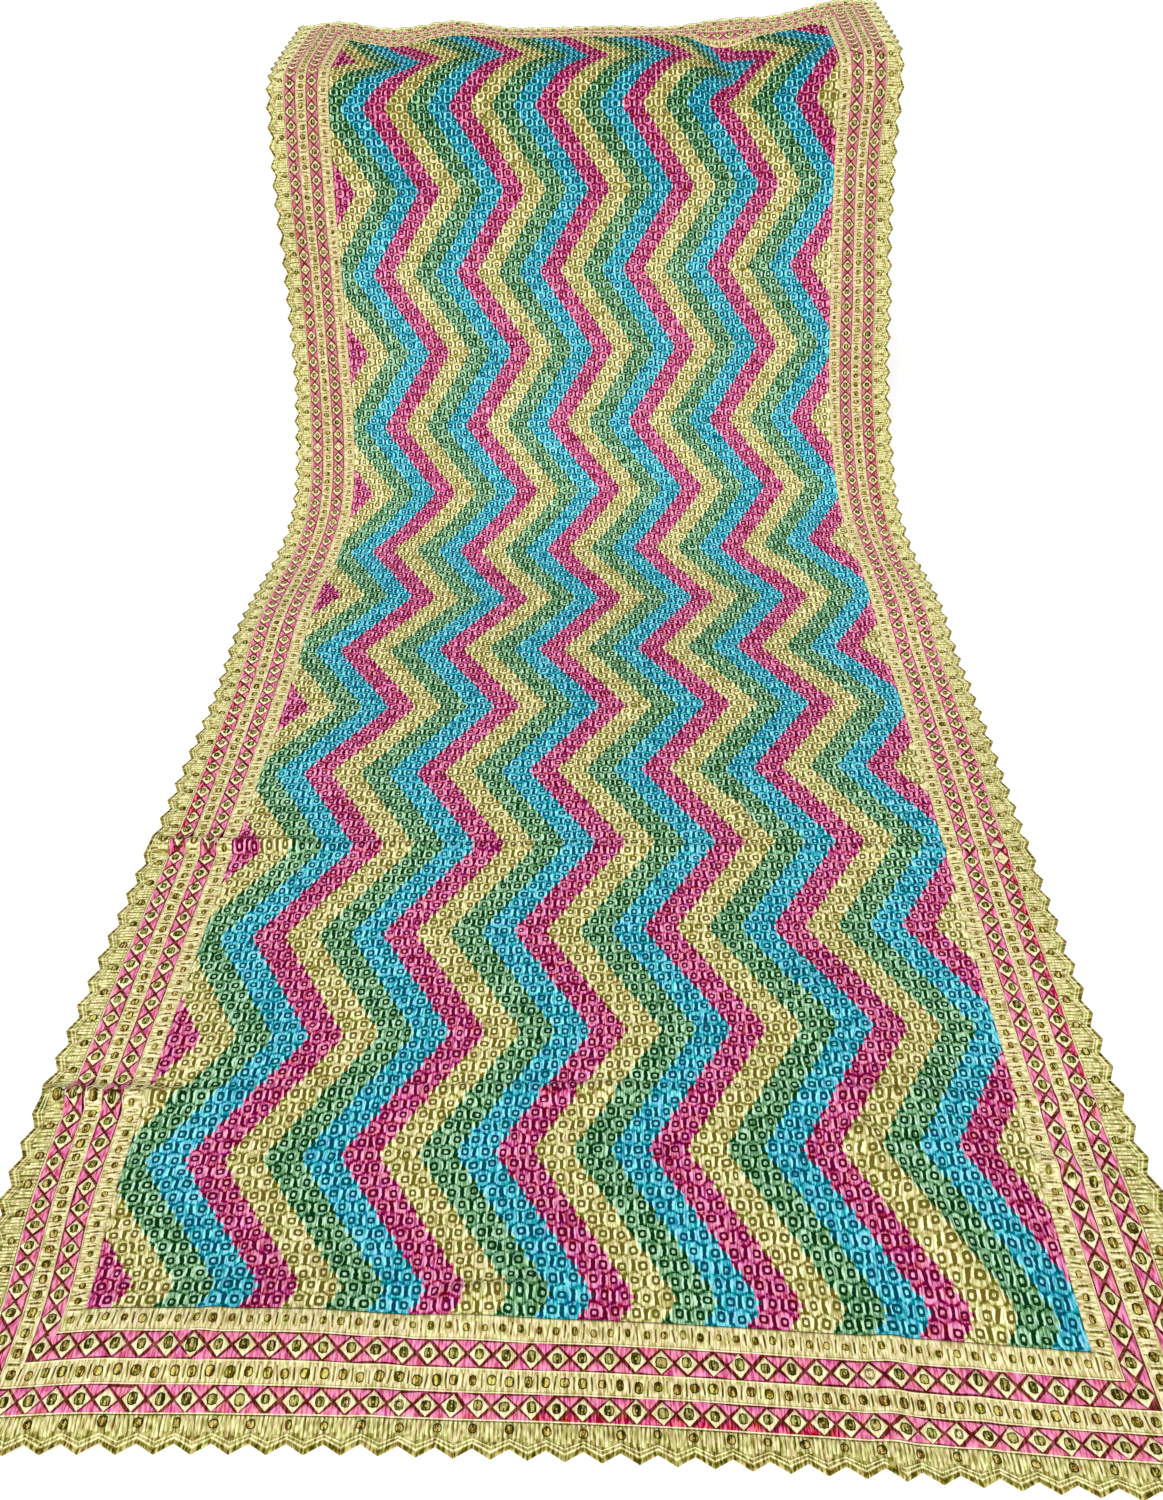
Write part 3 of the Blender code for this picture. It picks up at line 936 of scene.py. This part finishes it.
def make_band_motifs():
    widths = [width for _, width in STRIPS]
    middles = [sum(widths[:k]) + widths[k] / 2 for k in range(len(STRIPS))]
    half_run, half_out = DIAMOND_PITCH * 0.45, widths[1] * 0.43
    diamond_outline = [(-half_run, 0), (0, -half_out), (half_run, 0), (0, half_out)]
    diamond = padded(diamond_outline, [(0.92, 0.0), (0.80, 0.0009), (0.60, 0.0011)])
    base, tip = DIAMOND_PITCH * 0.42, widths[1] * 0.08
    levels = [(1.0, 0.0), (0.80, 0.0006), (0.40, 0.0009)]
    inner_triangle = padded([(0, -tip), (-base, -half_out), (base, -half_out)], levels)
    outer_triangle = padded([(0, tip), (base, half_out), (-base, half_out)], levels)
    cream = thread_material("cream_stitch", "cream", level=0.62, streak=0.35)
    rose = thread_material("rose_stitch", "rose", level=0.58, streak=0.45)
    deep_rose = thread_material("deep_rose_stitch", "deep_rose", streak=0.70)
    dark = thread_material("shade_stitch", "rim_gold", level=0.30)
    for name, at in (("inner", middles[1]), ("outer", middles[3])):
        spots = around(at, DIAMOND_PITCH)
        between = around(at, DIAMOND_PITCH, start=0.5)
        deep = [name == "outer" and is_deep(place) for place in between]
        stamped(f"diamonds_{name}", diamond, spots, cream, uneven=0.06)
        stamped(f"triangles_{name}_in", inner_triangle, between, rose, uneven=0.08)
        for label, finish, chosen in (("out", rose, False), ("deep", deep_rose, True)):
            places = [place for place, mark in zip(between, deep) if mark == chosen]
            if places:
                stamped(f"triangles_{name}_{label}", outer_triangle, places, finish, uneven=0.08)
        stitch_sequins(f"{name}_diamond", spots, SEQUIN_RADIUS, "olive", WALL + 0.0009, 0.14)
    bar = padded(stitch_outline(0.0007, -0.0046, 0.0046), [(1.0, 0.0), (0.6, 0.0007)])
    for name, at, radius, level in (
        ("inner_gold", middles[0], 0.0029, 0.34),
        ("middle_gold", middles[2], 0.0038, 0.18),
    ):
        stitch_sequins(name, around(at, SMALL_PITCH), radius, "amber", WALL, level)
        for number, (start, stitch) in enumerate(((0.39, cream), (0.50, dark), (0.61, cream))):
            spots = around(at, SMALL_PITCH, start=start)
            stamped(f"bars_{name}_{number + 1}", bar, spots, stitch, WALL, uneven=0.16)
    start = 0.0
    for number, width in enumerate(widths):
        start += width
        out = min(start, BAND_WIDTH - 0.0010)
        ridge_round(f"couched_line_{number + 1}", out, 0.0012, 0.0007, cream)


def is_deep(place):
    """Whether a triangle of the outer strip is in the deep rose, which comes in runs."""
    return math.sin(9.0 * place[0] + 7.0 * place[1] + 0.6) > 0.45


def stitch_sequins(name, spots, radius, thread, above, rim_level):
    """Sequins: a dark stitched rim, the disc in it and a small bright dome in its middle, whose colour
    is the disc's painted highlight.
    """
    rim = turned([(radius, 0.0), (radius * 0.90, 0.0008), (radius * 0.78, 0.0003)], 8, 0.10, False)
    disc = turned([(radius * 0.82, 0.0), (radius * 0.70, 0.0006), (radius * 0.34, 0.0004)], 8, 0.10)
    highlight_dome = turned([(radius * 0.22, 0.0004), (radius * 0.15, 0.0010)], 6)
    dark = thread_material(f"{name}_rim", "olive", level=rim_level, streak=0.3)
    shiny = thread_material(f"{name}_disc", thread, level=0.50, streak=0.9, pitch=0.0009, roughness=0.3)
    highlight = thread_material(f"{name}_bead", "amber", level=0.80, streak=0.2, roughness=0.3)
    stamped(f"rims_{name}", rim, spots, dark, above, uneven=0.16)
    stamped(f"discs_{name}", disc, spots, shiny, above, uneven=0.16)
    stamped(f"highlight_domes_{name}", highlight_dome, spots, highlight, above, uneven=0.16)


def ridge(name, path, width, height, material, above=WALL, closed=False):
    """A cord couched down along a flat path, as a low ridge of three faces."""
    path = np.array(path)
    if closed:
        ahead, behind = np.roll(path, -1, axis=0), np.roll(path, 1, axis=0)
    else:
        ahead, behind = np.vstack([path[1:], path[-1:]]), np.vstack([path[:1], path[:-1]])
    before, after = path - behind, ahead - path
    before /= np.maximum(np.linalg.norm(before, axis=1), 1e-9)[:, None]
    after /= np.maximum(np.linalg.norm(after, axis=1), 1e-9)[:, None]
    run = before + after
    run /= np.linalg.norm(run, axis=1)[:, None]
    side = np.stack([-run[:, 1], run[:, 0]], axis=1)
    longest = np.where((before * run).sum(1) > 0.1, (before * run).sum(1), (after * run).sum(1))
    side /= np.maximum(longest, 0.5)[:, None]
    offsets = np.array([-0.5, -0.22, 0.22, 0.5]) * width
    heights = np.array([0.0, height, height, 0.0])
    flat = (path[:, None] + offsets[None, :, None] * side[:, None]).reshape(-1, 2)
    up = above + np.tile(heights, len(path))
    points = cloth(flat[:, 0], flat[:, 1], up)
    loops = grid_loops(len(path), 4, upwards=False)
    if closed:
        last = (len(path) - 1) * 4
        ends = [(last + k, k, k + 1, last + k + 1) for k in range(3)]
        loops = np.concatenate([loops, ends])
    return new_piece(name, points, loops.ravel(), np.full(len(loops), 4), flat, [material])


def ridge_round(name, out, width, height, material):
    wide, long = HALF_FIELD + out, FIELD_LENGTH / 2 + out
    middle = FIELD_START + FIELD_LENGTH / 2
    turns = ((-1, -1), (1, -1), (1, 1), (-1, 1))
    corners = [(x * wide, middle + y * long) for x, y in turns]
    path = []
    for (x0, y0), (x1, y1) in zip(corners, corners[1:] + corners[:1]):
        count = round(math.hypot(x1 - x0, y1 - y0) / 0.006)
        path += [(x0 + (x1 - x0) * k / count, y0 + (y1 - y0) * k / count) for k in range(count)]
    return ridge(name, path, width, height, material, closed=True)


def edging_stations():
    """For each side: its name, its facing, its run, its seam and how many half pitches."""
    half = HALF_BAND - SEAM_GAP / 2
    side_count = 2 * round(LENGTH / POINT_PITCH)
    end_count = 4 * round(half / POINT_PITCH)
    return (
        ("left", (-1, 0), (0.0, LENGTH), -HALF_BAND, side_count),
        ("right", (1, 0), (0.0, LENGTH), HALF_BAND, side_count),
        ("near", (0, -1), (-half, half), FIELD_START - BAND_WIDTH, end_count),
        ("far", (0, 1), (-half, half), FIELD_END + BAND_WIDTH, end_count),
    )


def make_edgings():
    shares = np.array(EDGING_SHARES)
    follow = np.clip((shares - FOLLOW_START) / FOLLOW_RUN, 0, 1)
    for name, (out_x, out_y), (start, end), seam, count in edging_stations():
        crosswise = out_x != 0
        gold = thread_material(
            f"edging_gold_{name}", "edging_gold", crosswise, level=0.30, pitch=0.0008
        )
        rim = thread_material(f"edging_rim_{name}", "rim_gold", crosswise, level=0.42, streak=0.7)
        back = thread_material(
            f"edging_back_{name}", "edging_gold", crosswise, pitch=BACK_PITCH, back=True
        )
        places = start + np.arange(2 * count + 1) * (end - start) / (2 * count)
        point = np.abs((np.arange(2 * count + 1) / 2 + 1) % 2 - 1)
        facing = out_x + out_y
        run, share = np.meshgrid(places, shares, indexing="ij")
        reach = SEAM_GAP / 2 + share * (EDGING_WIDTH - SEAM_GAP / 2)
        reach = reach + point[:, None] * POINT_DEPTH * follow[None]
        out = seam + facing * reach
        up = EDGING_WALL - EDGING_SUNK + np.broadcast_to(np.array(EDGING_CROWN), run.shape)
        in_rim = (shares[:-1] > RIM_SHARE).astype(int)
        finish = np.broadcast_to(in_rim, (len(places) - 1, len(in_rim)))
        if crosswise:
            x, y = out, run
            if facing < 0:
                x, y, up, finish = x[:, ::-1], y[:, ::-1], up[:, ::-1], finish[:, ::-1]
        else:
            x, y = run.T, out.T
            up, finish = up.T, finish.T
            if facing < 0:
                x, y, up, finish = x[::-1], y[::-1], up[::-1], finish[::-1]
        piece = wall_piece(f"points_{name}", x, y, up, [gold, rim, back], finish)
        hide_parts(f"edging_{name}")
        width = EDGING_WIDTH + POINT_DEPTH
        line = thread_material(
            f"edging_line_{name}", "edging_gold", crosswise, level=0.72, streak=0.5
        )
        for number, (inset, width, height) in enumerate(POINT_LINES):
            material = rim if number == 0 else line
            stops = start + np.arange(count + 1) * (end - start) / count
            tips = EDGING_WIDTH - inset + (np.arange(count + 1) % 2) * POINT_DEPTH * (1 - 0.08 * number)
            outs = seam + facing * tips
            path = np.stack([outs, stops] if crosswise else [stops, outs], axis=1)
            ridge(f"point_line_{name}_{number + 1}", path, width, height, material, EDGING_WALL)


def make_edging_motifs():
    spots = side_places(1, 0.0062, 2, 2)
    stitch_sequins("edging", spots, 0.0036, "amber", EDGING_WALL + 0.0008, 0.02)
    stitch = thread_material("edging_stitches", "edging_gold", level=0.64, streak=0.40)
    places = side_places(4, 0.0, 1, 0)
    for name, end, steps in EDGING_RIBS:
        rib = padded(stitch_outline(0.0010, 0.0006, end), [(1.0, 0.0), (0.60, 0.0009)])
        ribs = [place for k, place in enumerate(places) if k % 8 in steps]
        stamped(f"edging_bars_{name}", rib, ribs, stitch, EDGING_WALL, uneven=0.06)


def make_camera_and_light():
    camera = bpy.data.objects.new("camera", bpy.data.cameras.new("camera"))
    bpy.context.scene.collection.objects.link(camera)
    camera.data.lens = LENS
    camera.data.sensor_width = 36.0
    camera.location = (CAMERA_SIDE - MIDDLE[0], -CAMERA_BACK - MIDDLE[1], CAMERA_HEIGHT)
    camera.rotation_euler = (math.radians(90 - CAMERA_PITCH), 0, 0)
    bpy.context.scene.camera = camera
    key = bpy.data.objects.new("key_light", bpy.data.lights.new("key_light", "SUN"))
    key.data.energy = KEY_ENERGY
    key.data.angle = math.radians(KEY_SPREAD)
    key.rotation_euler = [math.radians(turn) for turn in KEY_TURN]
    bpy.context.scene.collection.objects.link(key)
    world = bpy.data.worlds.new("studio")
    world.use_nodes = True
    sky = world.node_tree.nodes["Background"]
    sky.inputs["Color"].default_value = (1.0, 1.0, 1.0, 1.0)
    sky.inputs["Strength"].default_value = SKY_STRENGTH
    bpy.context.scene.world = world
    bpy.context.scene.view_settings.view_transform = "Standard"


def make_floor():
    mesh = bpy.data.meshes.new("floor")
    turns = ((-1, -1), (1, -1), (1, 1), (-1, 1))
    corners = [(x * FLOOR_REACH, y * FLOOR_REACH, -FLOOR_DROP) for x, y in turns]
    mesh.from_pydata(corners, [], [(0, 1, 2, 3)])
    floor = bpy.data.objects.new("floor", mesh)
    bpy.context.scene.collection.objects.link(floor)
    material = bpy.data.materials.new("pale_floor")
    material.use_nodes = True
    shader = material.node_tree.nodes["Principled BSDF"]
    shader.inputs["Base Color"].default_value = (0.93, 0.93, 0.92, 1.0)
    shader.inputs["Roughness"].default_value = 0.9
    mesh.materials.append(material)


make_camera_and_light()
make_floor()
make_field()
make_bands()
make_band_motifs()
make_edgings()
make_edging_motifs()
